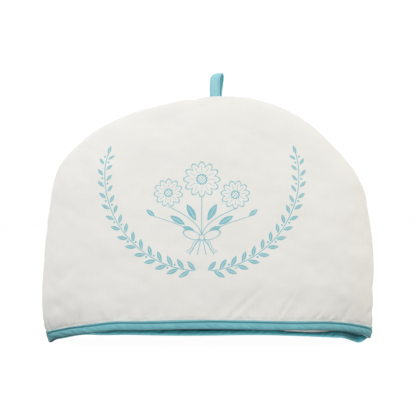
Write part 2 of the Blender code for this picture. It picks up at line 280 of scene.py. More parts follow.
def makeHalves():
    grids = {name: halfGrid(name) for name in halves}
    closeSideSeams(grids)
    made = {}
    for name, grid in grids.items():
        half, faces = halves[name], halves[name]["faces"]
        acrossRun, upRun = runningLength(grid, 1), runningLength(grid, 0)
        offSide = np.minimum(acrossRun, acrossRun[:, -1:] - acrossRun)
        offTop = upRun[-1:] - upRun
        fromSeam = np.minimum(offSide, offTop)
        x, z = grid[..., 0].copy(), grid[..., 2]
        normals = outward(grid)
        grid[..., 1] -= faces * furrows(x, z, broadHollows[name]) * ease(fromSeam, 0.0, body["seamReach"])
        true = unit(np.cross(np.gradient(grid, axis=0), np.gradient(grid, axis=1)) * faces)
        normals = unit(normals + (true - normals) * ease(fromSeam, *body["evenNear"])[..., None])
        if name == "back":
            grid[..., 1] -= tuck["depth"] * tucked(x, z) * ease(fromSeam, 0.0, tuck["offSeam"])
            squeezed = tucked(np.minimum(x, tuck["x"]), z) * ease(fromSeam, *tuck["squeezed"])
            normals += (np.array([0.0, 1.0, 0.0]) - normals) * squeezed[..., None]
        normals[..., 2] *= ease(upRun, hem["tapeTop"], 2 * hem["tapeTop"])  # the bound edge stands upright
        made[name] = {
            "name": name,
            "grid": grid,
            "normals": unit(normals),
            "fromHem": upRun,
            "fromSeam": fromSeam,
            "offSide": offSide,
            "offTop": offTop,
            "weave": flatPlace(half, x, z),
        }
    return made


def layer(half, below):
    return half["grid"] - half["normals"] * below[..., None]


# shader maths written as expressions

class Value:  # one output of a shader node
    def __init__(self, finish, socket):
        self.finish = finish
        self.socket = socket

    def maths(self, operation, *others):
        return self.finish.node("ShaderNodeMath", {"operation": operation}, dict(enumerate((self, *others))))

    def __add__(self, other):
        return self.maths("ADD", other)

    def __sub__(self, other):
        return self.maths("SUBTRACT", other)

    def __rsub__(self, other):
        return self.finish.node("ShaderNodeMath", {"operation": "SUBTRACT"}, {0: other, 1: self})

    def __mul__(self, other):
        return self.maths("MULTIPLY", other)

    def __truediv__(self, other):
        return self.maths("DIVIDE", other)

    def __pow__(self, other):
        return self.maths("POWER", other)

    def __abs__(self):
        return self.maths("ABSOLUTE")

    __radd__, __rmul__ = __add__, __mul__


def most(first, second):
    return first.maths("MAXIMUM", second)


class Finish:  # a material, and the one method that adds nodes to it
    def __init__(self, name):
        self.material = bpy.data.materials.new(name)
        self.material.use_nodes = True
        self.tree = self.material.node_tree
        self.shader = self.tree.nodes["Principled BSDF"]

    def node(self, kind, settings, inputs, output=0):
        made = self.tree.nodes.new(kind)
        for key, value in settings.items():
            setattr(made, key, value)
        self.feed(made, inputs)
        return Value(self, made.outputs[output])

    def feed(self, made, inputs):
        for key, value in inputs.items():
            if isinstance(value, Value):
                self.tree.links.new(value.socket, made.inputs[key])
            else:
                made.inputs[key].default_value = value

    def noise(self, place, size, detail=2.0, roughness=0.5):  # from 0 to 1
        inputs = {"Vector": place, "Scale": 1 / size, "Detail": detail, "Roughness": roughness}
        return self.node("ShaderNodeTexNoise", {}, inputs)

    def stretched(self, place, wide, tall, turn=0.0):
        inputs = {"Vector": place, "Scale": (1 / wide, 1 / tall, 1.0), "Rotation": (0.0, 0.0, turn)}
        return self.node("ShaderNodeMapping", {}, inputs)

    def ramp(self, value, low, high, atLow=0.0, atHigh=1.0, kind="SMOOTHSTEP"):
        inputs = {"Value": value, 1: low, 2: high, 3: atLow, 4: atHigh}
        return self.node("ShaderNodeMapRange", {"interpolation_type": kind}, inputs)

    def mix(self, factor, first, second):  # of two colours
        inputs = {0: factor, 6: first, 7: second}
        return self.node("ShaderNodeMix", {"data_type": "RGBA"}, inputs, output=2)

    def split(self, vector):
        made = self.node("ShaderNodeSeparateXYZ", {}, {0: vector})
        return [Value(self, socket) for socket in made.socket.node.outputs]

    def relief(self, height, distance, strength=1.0, below=None):
        inputs = {"Height": height, "Distance": distance, "Strength": strength}
        if below is not None:
            inputs["Normal"] = below
        return self.node("ShaderNodeBump", {}, inputs)

    def clothPlace(self):  # where the point lies on the flat cloth
        return self.node("ShaderNodeUVMap", {"uv_map": "weave"}, {})


def threads(finish, place, pitch):  # a plain weave's height, from 0 to 1
    u, v, _ = finish.split(place)
    turn = math.pi / pitch
    warp = abs((u * turn).maths("SINE"))
    weft = abs((v * turn).maths("SINE"))
    over = (u * turn).maths("COSINE") * (v * turn).maths("COSINE")
    side = finish.ramp(over, -0.35, 0.35)
    return warp * side + weft * (1 - side)


# the printed posy between two branches

posy = {
    "middle": -0.006,  # of the whole print
    "edge": 0.00012,  # over which the ink ends
    "line": 0.00032,  # half the width of a drawn line
    "rib": (0.6, 0.64),  # a leaf's bare midrib: width in drawn lines, and part of the leaf's length
    "branch": {"height": 0.178, "radius": 0.100, "from": 5, "to": 103, "pitch": 0.0118, "line": 1.4},
    "leaf": {"back": 0.0008, "length": 0.0066, "width": 0.0024, "off": 0.0046, "slant": 42, "shrink": 0.38},
    "tipLeaf": {"ahead": 0.0045, "length": 0.0052, "width": 0.0017},
    "berry": {"along": 0.0048, "off": 0.0026, "radius": 0.00105},
    "tie": 0.112,
    "stemLine": 1.2,
    "stemPowers": (2.0, 0.8),  # how steeply the daisies' stems and their cut ends curve
    "daisy": {  # in parts of its radius
        "petalMiddle": 0.63,
        "petalLength": 0.37,
        "petalWidth": 0.70,
        "bare": 0.26,  # petals end here
        "veinMiddle": 0.58,
        "veinLength": 0.17,
        "rim": 0.25,
        "seeds": 0.24,
    },
    "seed": {"pitch": 0.0030, "least": 0.3, "edge": 0.0005},
    "daisies": (  # x from the middle, z, radius, petals, turn
        (0.000, 0.172, 0.0185, 12, 0),
        (-0.034, 0.158, 0.0145, 11, 10),
        (0.034, 0.156, 0.0145, 11, 24),
    ),
    "leaves": (  # mirrored: x from the middle, z, slant, half length, half width
        (0.0105, 0.1375, 61, 0.0098, 0.0034),
        (0.0245, 0.1295, 31, 0.0088, 0.0030),
        (0.0132, 0.1205, 21, 0.0070, 0.0025),
        (0.0520, 0.1370, 39, 0.0055, 0.0024),
    ),
    "budStem": (0.0485, 0.1335, 1.4),  # x from the middle, z, how steeply it curves
    "cutEnds": ((0.0045, 0.094), (0.0125, 0.0945)),
    "bow": {"x": 0.0098, "z": 0.1145, "slant": 20, "length": 0.0092, "width": 0.0042, "knot": 0.0026},
    "tail": {"x": 0.0085, "z": 0.1035, "slant": -48, "length": 0.0095, "width": 0.0011, "wave": 0.0012},
}


def inked(finish, distance):  # 1 where a signed distance is below zero
    inputs = {0: distance, 1: -0.5 / posy["edge"], 2: 0.5}
    return finish.node("ShaderNodeMath", {"operation": "MULTIPLY_ADD", "use_clamp": True}, inputs)


def turned(u, v, x, z, degrees):  # along and across a shape that lies at x, z with this slant
    cosine, sine = math.cos(math.radians(degrees)), math.sin(math.radians(degrees))
    return u * cosine + (v * sine - (x * cosine + z * sine)), v * cosine - u * sine - (z * cosine - x * sine)


def drawnLeaf(finish, along, across, length, width):  # a solid leaf with its midrib left bare
    blade = abs(across) + (along / length) ** 2 * width - width
    lines, part = posy["rib"]
    rib = most(abs(across) - posy["line"] * lines, abs(along) - part * length)
    return inked(finish, blade) * (1 - inked(finish, rib))


def drawnStem(finish, u, v, top, foot, power, line):
    rise = top[1] - foot[1]
    part = finish.ramp(v, foot[1], top[1], kind="LINEAR")
    curve = part**power * (top[0] - foot[0]) + foot[0]
    slope = part.maths("MAXIMUM", 0.02) ** (power - 1) * (power * (top[0] - foot[0]) / rise)
    off = abs(u - curve) / (slope * slope + 1).maths("SQRT") - line
    return inked(finish, most(off, abs(v - (top[1] + foot[1]) / 2) - abs(rise) / 2))


def drawnBranches(finish, out, v):
    branch, leaf, berry = posy["branch"], posy["leaf"], posy["berry"]
    radius, pitch = branch["radius"], branch["pitch"]
    below = branch["height"] - v
    along = out.maths("ARCTAN2", below) * radius
    off = (out * out + below * below).maths("SQRT") - radius
    start, stop = (math.radians(branch[end]) * radius for end in ("from", "to"))
    middle, half = (start + stop) / 2, (stop - start) / 2
    ink = inked(finish, most(abs(off) - posy["line"] * branch["line"], abs(along - middle) - half))
    for side, shift in ((1, 0.0), (-1, 0.5)):
        beside = off * side
        cell = (along / pitch - shift).maths("FLOOR")
        foot = (cell + (shift + 0.5)) * pitch
        size = finish.ramp(foot, 0.0, stop, 1.0, 1 - leaf["shrink"], kind="LINEAR")
        here = along - foot
        a, b = turned(here, beside, -leaf["back"], leaf["off"], leaf["slant"])
        blade = drawnLeaf(finish, a / size, b / size, leaf["length"], leaf["width"])
        away = ((here - berry["along"]) ** 2 + (beside - berry["off"]) ** 2).maths("SQRT")
        odd = cell.maths("MODULO", 2.0).maths("COMPARE", 0.0 if side > 0 else 1.0, 0.1)
        fruit = inked(finish, away - berry["radius"]) * odd
        grown = inked(finish, abs(foot - middle) - half)
        ink = most(ink, most(blade, fruit) * grown)
    tip = posy["tipLeaf"]
    return most(ink, drawnLeaf(finish, along - (stop + tip["ahead"]), off, tip["length"], tip["width"]))


def drawnDaisy(finish, u, v, x, z, radius, petals, turn):  # its ink, and the cloth that it covers
    size = {key: part * radius for key, part in posy["daisy"].items()}
    u, v = u - x, v - z
    out = (u * u + v * v).maths("SQRT")
    step = 2 * math.pi / petals
    swing = (v.maths("ARCTAN2", u) + math.radians(turn)).maths("WRAP", step / 2, -step / 2)
    ahead, across = out * swing.maths("COSINE"), out * swing.maths("SINE")
    wide = size["petalWidth"] * math.tan(step / 2)
    petal = ((ahead - size["petalMiddle"]) / size["petalLength"]) ** 2 + (across / wide) ** 2
    lines = inked(finish, abs((petal.maths("SQRT") - 1) * wide) - posy["line"])
    lines = lines * (1 - inked(finish, out - size["bare"]))
    thin = abs(across) - posy["line"] * posy["rib"][0]
    vein = inked(finish, most(thin, abs(ahead - size["veinMiddle"]) - size["veinLength"]))
    rim = inked(finish, abs(out - size["rim"]) - posy["line"])
    seed, grain = posy["seed"], 2 * math.pi / posy["seed"]["pitch"]
    dots = (u * grain).maths("SINE") * (v * grain).maths("SINE") - seed["least"]
    seeds = inked(finish, dots * -seed["edge"]) * inked(finish, out - size["seeds"])
    return most(most(lines, vein), most(rim, seeds)), inked(finish, out - radius)


def drawnBow(finish, out, v):  # its ink, and the cloth that it covers
    bow, tail, line = posy["bow"], posy["tail"], posy["line"]
    a, b = turned(out, v, bow["x"], bow["z"], bow["slant"])
    ring = (((a / bow["length"]) ** 2 + (b / bow["width"]) ** 2).maths("SQRT") - 1) * bow["width"]
    a, b = turned(out, v, tail["x"], tail["z"], tail["slant"])
    waved = b + (a / (2 * tail["wave"])).maths("SINE") * tail["wave"]
    strip = most(abs(abs(waved) - tail["width"]) - line, abs(a) - tail["length"])
    knot = (out * out + (v - posy["tie"]) ** 2).maths("SQRT") - bow["knot"]
    behind = most(inked(finish, strip), inked(finish, abs(ring) - line)) * (1 - inked(finish, knot))
    return most(behind, inked(finish, abs(knot) - line)), most(inked(finish, ring), inked(finish, knot))


def printedInk(finish, place):
    u, v, _ = finish.split(place)
    across = u - posy["middle"]
    out = abs(across)
    tie, line = (0.0, posy["tie"]), posy["line"] * posy["stemLine"]
    stemPower, endPower = posy["stemPowers"]
    x, z, power = posy["budStem"]
    ink = drawnStem(finish, out, v, (x, z), tie, power, posy["line"])
    for end in posy["cutEnds"]:
        ink = most(ink, drawnStem(finish, out, v, end, tie, endPower, line))
    for x, z, radius, _, _ in posy["daisies"]:
        ink = most(ink, drawnStem(finish, across, v, (x, z - radius), tie, stemPower, line))
    for x, z, slant, length, width in posy["leaves"]:
        ink = most(ink, drawnLeaf(finish, *turned(out, v, x, z, slant), length, width))
    daisies = [drawnDaisy(finish, across, v, *row) for row in posy["daisies"]]
    for drawn, covered in (drawnBow(finish, out, v), *daisies):
        ink = most(ink * (1 - covered), drawn)
    return most(ink, drawnBranches(finish, out, v))


# cloths and thread

cottonLook = {
    "colour": (0.800, 0.790, 0.758, 1.0),
    "shade": (0.768, 0.757, 0.724, 1.0),
    "slub": (0.0009, 0.030),  # width and length of the yarns' thick places
    "cloud": 0.035,
    "slubShare": 0.55,
    "threadPitch": 0.00045,
    "roughness": (0.81, 0.91),
    "sheen": (0.12, 0.5),  # weight and roughness
    "specular": 0.25,
    "ink": (0.150, 0.475, 0.540, 1.0),
    "inkCover": (0.76, 0.92),
}
tapeLook = {
    "colour": (0.205, 0.520, 0.575, 1.0),
    "shade": (0.150, 0.430, 0.485, 1.0),
    "slub": (0.0007, 0.015),
    "cloud": 0.012,
    "slubShare": 0.5,
    "threadPitch": 0.00035,
    "roughness": (0.68, 0.80),
    "sheen": (0.15, 0.4),
    "specular": 0.3,
    "groovePaintedShade": (0.080, 0.290, 0.340, 1.0),  # painted shade, deep in the stitched groove
    "seamWidth": (0.00050, 0.00120),
}
loopLook = tapeLook | {
    "colour": (0.385, 0.700, 0.765, 1.0),
    "shade": (0.300, 0.610, 0.670, 1.0),
    # painted shade in the loop's stitched grooves
    "groovePaintedShade": (0.240, 0.530, 0.590, 1.0),
    "seamWidth": (0.00010, 0.00050),
}


def clothTones(finish, place, yarns, look):  # the slubs, the soft clouds, and the colour that both give
    wide, long = look["slub"]
    warp = finish.noise(finish.stretched(yarns, wide, long), 1.0)
    weft = finish.noise(finish.stretched(yarns, long, wide), 1.0)
    slubs = warp * 0.5 + weft * 0.5
    clouds = finish.noise(place, look["cloud"], detail=3.0)
    tone = slubs * look["slubShare"] + clouds * (1 - look["slubShare"])
    tone = finish.ramp(tone, 0.36, 0.64, kind="LINEAR")
    return slubs, clouds, finish.mix(tone, look["shade"], look["colour"])


def dressCloth(finish, look, colour, slubs, bumpy):
    finish.feed(finish.shader, {
        "Base Color": colour,
        "Roughness": finish.ramp(slubs, 0.2, 0.8, *look["roughness"]),
        "Normal": bumpy,
        "Sheen Weight": look["sheen"][0],
        "Sheen Roughness": look["sheen"][1],
        "Specular IOR Level": look["specular"],
    })
    return finish


def makeCotton(name, look, printed=False):
    finish = Finish(name)
    place = finish.clothPlace()
    slubs, clouds, colour = clothTones(finish, place, place, look)
    if printed:
        cover = finish.ramp(slubs, 0.35, 0.6, *look["inkCover"])
        colour = finish.mix(printedInk(finish, place) * cover, colour, look["ink"])
    bumpy = finish.relief(clouds, 0.0006, 0.5)
    bumpy = finish.relief(slubs, 0.00012, 0.6, bumpy)
    bumpy = finish.relief(threads(finish, place, look["threadPitch"]), 0.00006, 0.5, bumpy)
    return dressCloth(finish, look, colour, slubs, bumpy)


def makeTape(name, look, seams, inside):  # the stitched grooves' places across it, which get painted shade, and the painted shade of its inner side
    finish = Finish(name)
    place = finish.clothPlace()
    biased = finish.stretched(place, 1.0, 1.0, math.radians(45))  # the tape is cut across the weave
    slubs, _, colour = clothTones(finish, place, biased, look)
    _, across, _ = finish.split(place)
    # painted shade on the inner side: a deeper teal, coming in between start and stop across the tape
    shade, start, stop = inside
    colour = finish.mix(finish.ramp(across, start, stop), colour, shade)
    # painted shade along each stitched groove
    for seam in seams:
        colour = finish.mix(finish.ramp(abs(across - seam), *look["seamWidth"]), look["groovePaintedShade"], colour)
    bumpy = finish.relief(slubs, 0.00015, 0.6)
    bumpy = finish.relief(threads(finish, biased, look["threadPitch"]), 0.00005, 0.5, bumpy)
    return dressCloth(finish, look, colour, slubs, bumpy)


threadLook = {
    "colour": (0.085, 0.290, 0.335, 1.0),
    "shade": (0.045, 0.190, 0.225, 1.0),
    "twist": (0.0007, 0.0009),  # length along the thread and round it of one turn of its plies
}


def makeThread(name, look):
    finish = Finish(name)
    u, v, _ = finish.split(finish.clothPlace())
    along, around = look["twist"]
    plies = (u * (2 * math.pi / along) + v * (2 * math.pi / around)).maths("SINE") * 0.5 + 0.5
    finish.feed(finish.shader, {
        "Base Color": finish.mix(plies, look["shade"], look["colour"]),
        "Roughness": finish.ramp(plies, 0.0, 1.0, 0.62, 0.5),
        "Normal": finish.relief(plies, 0.00005, 0.6),
    })
    return finish


# meshes

def newPiece(name, points, faces, finish, weave, node=None):
    mesh = bpy.data.meshes.new(name)
    mesh.from_pydata(points.reshape(-1, 3).tolist(), [], faces)
    corner = np.empty(len(mesh.loops), int)
    mesh.loops.foreach_get("vertex_index", corner)
    mesh.uv_layers.new(name="weave").data.foreach_set("uv", weave.reshape(-1, 2)[corner].ravel())
    mesh.materials.append(finish.material)
    mesh.shade_smooth()
    mesh.set_sharp_from_angle(angle=math.radians(60))
    piece = bpy.data.objects.new(name, mesh)
    bpy.context.scene.collection.objects.link(piece)
    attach(piece, "root")
    if node:
        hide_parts(node)
    return piece


def gridFaces(rows, columns, first=0, flip=False):
    index = first + np.arange(rows * columns).reshape(rows, columns)
    quads = np.stack([index[:-1, :-1], index[:-1, 1:], index[1:, 1:], index[1:, :-1]], axis=-1)
    return (quads[..., ::-1] if flip else quads).reshape(-1, 4).tolist()


def makeShell(name, half, outside, inside, finish, node):  # a closed piece of cloth between two grids
    rows, columns = outside.shape[:2]
    size = rows * columns
    ahead = half["name"] == "front"
    index = np.arange(size).reshape(rows, columns)
    rim = np.concatenate([index[0], index[1:, -1], index[-1, -2::-1], index[-2:0:-1, 0]])
    after = np.roll(rim, -1)
    around = np.stack([after, rim, rim + size, after + size], axis=-1)
    faces = gridFaces(rows, columns, 0, not ahead) + gridFaces(rows, columns, size, ahead)
    faces += (around if ahead else around[:, ::-1]).tolist()
    weave = np.concatenate([half["weave"].reshape(-1, 2)] * 2)
    points = np.concatenate([outside.reshape(-1, 3), inside.reshape(-1, 3)])
    return newPiece(name, points, faces, finish, weave, node)


def tubeFaces(count, sides, closed=False):
    ring, side = np.arange(count if closed else count - 1)[:, None], np.arange(sides)[None]
    first, second, after = ring * sides, (ring + 1) % count * sides, (side + 1) % sides
    faces = np.stack([first + side, second + side, second + after, first + after], axis=-1)
    faces = faces.reshape(-1, 4).tolist()
    if not closed:
        faces.append(list(range(sides)))
        faces.append(list(range((count - 1) * sides, count * sides))[::-1])
    return faces


def makeTube(name, sections, weave, finish, node=None, closed=False):  # a band through cross-sections
    return newPiece(name, sections, tubeFaces(*sections.shape[:2], closed), finish, weave, node)


# the padded panels

padding = {
    "seamGroove": 0.0016,  # how far the seam draws the cloth in, widely and in its own narrow crease
    "seamGrooveWidth": 0.0055,
    "crease": 0.0012,
    "creaseWidth": 0.0016,
    "hemPinch": (0.0020, 0.0010),  # how far the hem draws the cloth in, widely and close to the tape
    "pinchHeights": ((0.006, 0.050), (0.0072, 0.0120)),  # above the raw edge, between which each dies out
    "cornerFull": 0.5,  # part of that which is missing at the side seams
    "cornerWidth": 0.020,
    "cornerThin": 0.0034,  # by which the wadding is thinner there
    "fillHeights": (0.0085, 0.024),  # between which the wadding reaches its depth
    "depth": 0.0075,
    "depthAtHem": 0.0060,
    "broadSwell": (0.00040, 0.052),  # height and wavelength
    "fineSwell": (0.00014, 0.017),
    "swellStarts": (0.022, 0.020),  # off a seam and off the tape, over which both grow
    "hemPuckers": (0.0085, 0.010, 0.0018),  # reach, distance apart and depth at each row of stitches
    "topPuckers": (0.012, 0.014, 0.0006),
    "sidePuckers": (0.010, 0.013, 0.0006),
    "seeds": {"front": 11, "back": 47},
}
creases = {  # fromX, fromZ, toX, toZ, width, depth
    "front": (
        (0.0040, 0.012, 0.0540, 0.061, 0.0030, 0.0014),
        (0.0095, 0.012, 0.0570, 0.058, 0.0034, -0.0009),
        (0.0600, 0.010, 0.0890, 0.058, 0.0016, 0.0013),
        (0.0632, 0.010, 0.0905, 0.055, 0.0020, -0.0009),
        (0.1045, 0.021, 0.1180, 0.037, 0.0018, 0.0010),
        (0.1070, 0.020, 0.1205, 0.036, 0.0019, -0.0007),
        (0.1165, 0.020, 0.1290, 0.033, 0.0016, 0.0010),
        (0.1190, 0.019, 0.1320, 0.032, 0.0018, -0.0007),
        (0.1340, 0.016, 0.1490, 0.043, 0.0032, 0.0012),
        (-0.040, 0.020, -0.034, 0.052, 0.0034, 0.0009),
        (-0.062, 0.018, -0.050, 0.044, 0.0050, 0.0012),
        (-0.104, 0.016, -0.078, 0.040, 0.0060, 0.0014),
        (-0.164, 0.060, -0.128, 0.088, 0.0080, 0.0014),
        (-0.168, 0.028, -0.150, 0.046, 0.0050, 0.0012),
        (0.000, 0.022, 0.034, 0.060, 0.0060, 0.0012),
        (0.010, 0.252, -0.010, 0.247, 0.0030, 0.0008),
        (0.000, 0.249, -0.045, 0.236, 0.0045, 0.0006),
    ),
    "back": (
        (-0.095, 0.012, -0.072, 0.050, 0.0028, 0.0014),
        (-0.042, 0.012, -0.028, 0.044, 0.0026, 0.0011),
        (0.062, 0.012, 0.044, 0.050, 0.0028, 0.0013),
        (0.118, 0.010, 0.106, 0.040, 0.0030, 0.0010),
        (0.010, 0.252, 0.034, 0.243, 0.0040, 0.0006),
    ),
}
dimples = (  # x, z, width, depth: where the seam or a stitch draws both panels in
    (-0.0150, 0.2590, 0.0050, 0.0020),
    (-0.1700, 0.1180, 0.0040, 0.0009),
    (0.1740, 0.0580, 0.0040, 0.0009),
    (0.1720, 0.0320, 0.0045, 0.0014),
)


def puckers(along, off, reach, pitch, deepest, seed):  # short troughs that start at a row of stitches
    dice = np.random.default_rng(seed)
    total = np.zeros_like(along)
    at = along.min()
    while at < along.max():
        at += pitch * dice.uniform(0.45, 1.7)
        deep = deepest * dice.uniform(0.25, 1.0)
        length = reach * dice.uniform(0.5, 1.3)
        lean = dice.uniform(-0.5, 0.5)
        width = pitch * dice.uniform(0.16, 0.30)
        total += deep * bump(along - lean * off, at, width) * np.exp(-((off / length) ** 2))
    return total


def outsideDepth(half):
    low, off = half["fromHem"], half["fromSeam"]
    drawnIn = zip(padding["hemPinch"], padding["pinchHeights"])
    pinch = sum(deep * (1 - ease(low, *heights)) for deep, heights in drawnIn)
    pinch *= 1 - padding["cornerFull"] * bump(half["offSide"], 0.0, padding["cornerWidth"])
    groove = padding["seamGroove"] * bump(off, 0.0, padding["seamGrooveWidth"])
    crease = padding["crease"] * bump(off, 0.0, padding["creaseWidth"])
    return np.maximum(pinch, (groove + crease) * ease(low, *padding["pinchHeights"][1]))


def insideDepth(half):
    full = ease(half["fromHem"], *padding["fillHeights"])
    atHem = padding["depthAtHem"] - padding["cornerThin"] * bump(half["offSide"], 0.0, padding["cornerWidth"])
    return atHem + (padding["depth"] - atHem) * full


def softRelief(half):  # how far folds and stitches draw the padded cloth in
    x, z = half["grid"][..., 0], half["grid"][..., 2]
    u, v = np.moveaxis(half["weave"], -1, 0)
    offHem = half["fromHem"] - (hem["tapeTop"] - hem["rawEdge"])
    offSeam = ease(half["fromSeam"], 0.0, 0.003)
    seed = padding["seeds"][half["name"]]
    (broad, wide), (fine, narrow) = padding["broadSwell"], padding["fineSwell"]
    waves = broad * swell(u, v, wide, seed) + fine * swell(u, v, narrow, seed + 1)
    nearSeam, nearHem = padding["swellStarts"]
    total = waves * ease(half["fromSeam"], 0.0, nearSeam) * ease(offHem, 0.0, nearHem)
    total += furrows(x, z, creases[half["name"]]) * ease(offHem, -0.001, 0.004)
    atHem = puckers(u, np.clip(offHem, 0.0, None), *padding["hemPuckers"], seed + 2)
    total += atHem * ease(offHem, -0.001, 0.002)
    total += puckers(x, half["offTop"], *padding["topPuckers"], seed + 3) * offSeam
    atSides = puckers(z * np.sign(x), half["offSide"], *padding["sidePuckers"], seed + 4)
    total += atSides * offSeam * ease(offHem, 0.0, 0.010)
    for atX, atZ, width, deep in dimples:
        total += deep * bump(np.hypot(x - atX, z - atZ), 0.0, width) * ease(offHem, 0.0, 0.004)
    return total


def makePanels(parts, finish):
    for name, half in parts.items():
        outside = layer(half, outsideDepth(half) + softRelief(half))
        inside = layer(half, insideDepth(half))
        piece = makeShell(f"{name}_panel_cloth", half, outside, inside,
                          finish[name], f"{name}_panel")


# the linings

lining = {
    "thickness": 0.0010,
    "swell": {"height": 0.00025, "size": 0.040, "seed": 83, "starts": (0.010, 0.030)},
    "slack": {"x": 0.107, "width": 0.026, "z": 0.0080, "height": 0.0024, "depth": 0.0030},  # at the back
}


def makeLinings(parts, finish):
    waves = lining["swell"]
    for name, half in parts.items():
        facing = insideDepth(half) + hem["gap"]
        if name == "back":
            slack = lining["slack"]
            x, z = half["grid"][..., 0], half["grid"][..., 2]
            sagged = bump(x, slack["x"], slack["width"]) * bump(z, slack["z"], slack["height"])
            facing = facing + slack["depth"] * sagged
        wave = 1 + swell(half["weave"][..., 0], half["weave"][..., 1], waves["size"], waves["seed"])
        wave = np.clip(waves["height"] * wave * ease(half["fromHem"], *waves["starts"]), 0.0, None)
        outside, inside = layer(half, facing), layer(half, facing + lining["thickness"] + wave)
        piece = makeShell(f"{name}_lining_cloth", half, outside, inside, finish, f"{name}_lining")


# the hem binding

binding = {
    "outer": (  # height above its underside, and how far it stands out from the cloth
        (0.00960, 0.00010), (0.00958, 0.00070), (0.00920, 0.00105), (0.00865, 0.00100),
        (0.00822, 0.00062), (0.00785, 0.00004), (0.00740, 0.00004), (0.00700, 0.00066),
        (0.00635, 0.00130), (0.00500, 0.00165), (0.00330, 0.00160), (0.00190, 0.00120),
        (0.00080, 0.00040), (0.00012, -0.00080), (0.00000, -0.00220),
    ),
    "inside": ((0.0094, -0.00002), (0.0068, -0.00002), (0.0040, -0.00002), (0.0017, -0.00010)),
    "profileSteps": 30,
    "measuredAt": 12,  # step of the profile along which the mouth's length is read
    "steps": 460,  # along each half of the mouth
    "groove": 0.0076,
    "wrinkle": {"depth": 0.00026, "size": 0.0065, "middle": 0.0042, "width": 0.0024, "slant": (0.9, 0.5)},
    "waver": {"height": 0.00030, "size": 0.060, "width": 0.0012},  # of the groove
    "seeds": (5, 15),  # outside and inside
    "joinReach": 0.008,  # over which its unevenness dies out at the join of its two ends
    "innerDrop": 0.0026,  # by which its inner edge sinks behind the right side, and where on x
    "innerDropEnds": ((0.062, 0.090), (0.114, 0.140)),
    "cornerTight": 0.7,  # part by which it lies tighter round a corner
    "cornerWidth": 0.010,
    "cornerDroop": 0.0020,  # by which its underside hangs lower there
    "insidePaintedShade": (0.060, 0.370, 0.425, 1.0),  # painted shade inside the mouth, a deeper teal
    "insideReach": 0.7,  # part of the way from the fold to the inner groove over which that painted shade comes in
    "flat": (0.029, 0.80),
    "stitch": {"pitch": 0.0026, "length": 0.0021, "width": 0.00028, "height": 0.00018, "sink": 0.00008},
}


def boundEdge(half):  # the half's band of cloth inside the tape, read at even steps along the mouth
    band = slice(body["bandRows"] + 1)
    run = runningLength(half["grid"], 1)[0]
    at = np.linspace(0.0, run[-1], binding["steps"] + 1)
    made = {key: readAlong(half[key][band], run, at) for key in ("grid", "normals")}
    made["outer"] = readAlong(outsideDepth(half)[band], run, at)[0]
    made["inner"] = readAlong(insideDepth(half)[band], run, at)[0] + hem["gap"] + lining["thickness"]
    return made | {"name": half["name"], "run": at}


def bandPlace(band, height, below):  # points on the bound edge, at a height above the underside of the tape
    rows = body["bandRows"]
    part = np.clip((height - hem["rawEdge"]) / (hem["tapeTop"] - hem["rawEdge"]), 0.0, 1.0) * rows
    row = np.minimum(part.astype(int), rows - 1)
    share = (part - row)[..., None]
    column = np.arange(height.shape[1])[None].repeat(len(height), axis=0)
    base = band["grid"][row, column] * (1 - share) + band["grid"][row + 1, column] * share
    out = unit(band["normals"][row, column] * (1 - share) + band["normals"][row + 1, column] * share)
    place = base - out * below[..., None]
    place[..., 2] -= np.clip(hem["rawEdge"] - height, 0.0, None)
    return place


def tapeLeg(band, profile, inner=False):  # the profile's points along the mouth, on one side of the cloth
    run, profile = band["run"], np.array(profile)
    wrinkle, waver, seed = binding["wrinkle"], binding["waver"], binding["seeds"][inner]
    corner = bump(np.minimum(run, run[-1] - run), 0.0, binding["cornerWidth"])
    stand = profile[:, 1:] * (1 - binding["cornerTight"] * corner)
    height = profile[:, :1].repeat(len(run), axis=1)
    height = height - binding["cornerDroop"] * corner * (1 - height / hem["tapeTop"])
    even = ease(run, 0.0, binding["joinReach"])
    along = run if band["name"] == "front" else -run
    slant, squash = wrinkle["slant"]
    swollen = swell(along + height * slant, height * squash, wrinkle["size"], seed)
    stand = stand + wrinkle["depth"] * swollen * bump(height, wrinkle["middle"], wrinkle["width"]) * even
    wavered = swell(along, 0 * along, waver["size"], seed + 1) * even
    height = height + waver["height"] * wavered * bump(height, binding["groove"], waver["width"])
    if not inner:
        return bandPlace(band, height, band["outer"] - hem["gap"] - stand)
    start, stop = (ease(band["grid"][0, :, 0], *ends) for ends in binding["innerDropEnds"])
    drop = binding["innerDrop"] * start * (1 - stop) * (band["name"] == "back")
    height = height * (1 - drop / hem["tapeTop"])
    return bandPlace(band, height, band["inner"] + hem["gap"] + stand)


def tapeSections(band):
    face = smoothLine(binding["outer"], binding["profileSteps"])
    ring = [tapeLeg(band, face), tapeLeg(band, face[-2::-1], inner=True)]
    ring += [tapeLeg(band, binding["inside"], inner=True), tapeLeg(band, binding["inside"][::-1])]
    return np.concatenate(ring).transpose(1, 0, 2)


